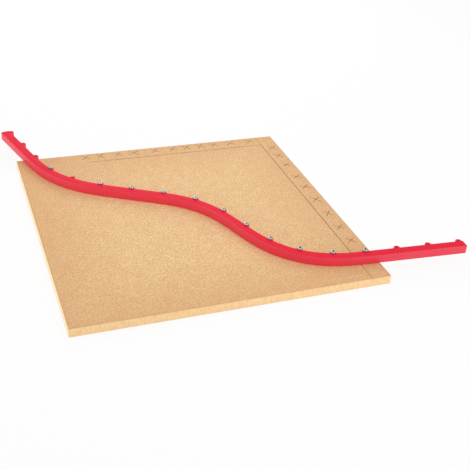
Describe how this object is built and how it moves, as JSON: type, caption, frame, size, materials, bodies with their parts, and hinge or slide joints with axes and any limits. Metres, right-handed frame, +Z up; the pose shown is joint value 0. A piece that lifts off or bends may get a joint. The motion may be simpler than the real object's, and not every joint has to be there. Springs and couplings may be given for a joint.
{
  "type": "bendable curve template on a board",
  "caption": "Bendable bar with screw bosses along its rear face, fixed in an S-curve by pan-head screws on a square fibreboard panel, as a template for routing or marking curves.",
  "frame": {"origin": "middle of the panel's underside, where the template rests on a bench", "axes": "+X along the panel's front edge to the right, +Y towards its back edge, +Z up out of the panel's top"},
  "size_m": [0.8142, 0.7297, 0.0401],
  "materials": {
    "fibreboard": "raw, matt",
    "red_plastic": "satin",
    "bright_steel": "bright"
  },
  "bodies": {
    "board": {"panel": "fibreboard", "strip_run": "red_plastic"},
    "tail_left": {"strip_tail_left": "red_plastic"},
    "tail_right": {"strip_tail_right": "red_plastic"},
    "screw_01": {"screw_01": "bright_steel"},
    "screw_02": {"screw_02": "bright_steel"},
    "screw_03": {"screw_03": "bright_steel"},
    "screw_04": {"screw_04": "bright_steel"},
    "screw_05": {"screw_05": "bright_steel"},
    "screw_06": {"screw_06": "bright_steel"},
    "screw_07": {"screw_07": "bright_steel"},
    "screw_08": {"screw_08": "bright_steel"},
    "screw_09": {"screw_09": "bright_steel"},
    "screw_10": {"screw_10": "bright_steel"},
    "screw_11": {"screw_11": "bright_steel"}
  },
  "joints": [
    {"name": "tail_left_flex", "type": "hinge", "parent": "board", "child": "tail_left", "pos_m": [-0.25878, 0.23373, 0.0273], "axis": [0, 0, 1], "range_deg": [-12, 12], "stiffness_Nm_per_rad": 2},
    {"name": "tail_right_flex", "type": "hinge", "parent": "board", "child": "tail_right", "pos_m": [0.29519, -0.25081, 0.0273], "axis": [0, 0, 1], "range_deg": [-12, 12], "stiffness_Nm_per_rad": 2},
    {"name": "screw_01_out", "type": "slide", "parent": "board", "child": "screw_01", "axis": [0, 0, 1], "range_m": [0, 0.032]},
    {"name": "screw_02_out", "type": "slide", "parent": "board", "child": "screw_02", "axis": [0, 0, 1], "range_m": [0, 0.032]},
    {"name": "screw_03_out", "type": "slide", "parent": "board", "child": "screw_03", "axis": [0, 0, 1], "range_m": [0, 0.032]},
    {"name": "screw_04_out", "type": "slide", "parent": "board", "child": "screw_04", "axis": [0, 0, 1], "range_m": [0, 0.032]},
    {"name": "screw_05_out", "type": "slide", "parent": "board", "child": "screw_05", "axis": [0, 0, 1], "range_m": [0, 0.032]},
    {"name": "screw_06_out", "type": "slide", "parent": "board", "child": "screw_06", "axis": [0, 0, 1], "range_m": [0, 0.032]},
    {"name": "screw_07_out", "type": "slide", "parent": "board", "child": "screw_07", "axis": [0, 0, 1], "range_m": [0, 0.032]},
    {"name": "screw_08_out", "type": "slide", "parent": "board", "child": "screw_08", "axis": [0, 0, 1], "range_m": [0, 0.032]},
    {"name": "screw_09_out", "type": "slide", "parent": "board", "child": "screw_09", "axis": [0, 0, 1], "range_m": [0, 0.032]},
    {"name": "screw_10_out", "type": "slide", "parent": "board", "child": "screw_10", "axis": [0, 0, 1], "range_m": [0, 0.032]},
    {"name": "screw_11_out", "type": "slide", "parent": "board", "child": "screw_11", "axis": [0, 0, 1], "range_m": [0, 0.032]}
  ]
}
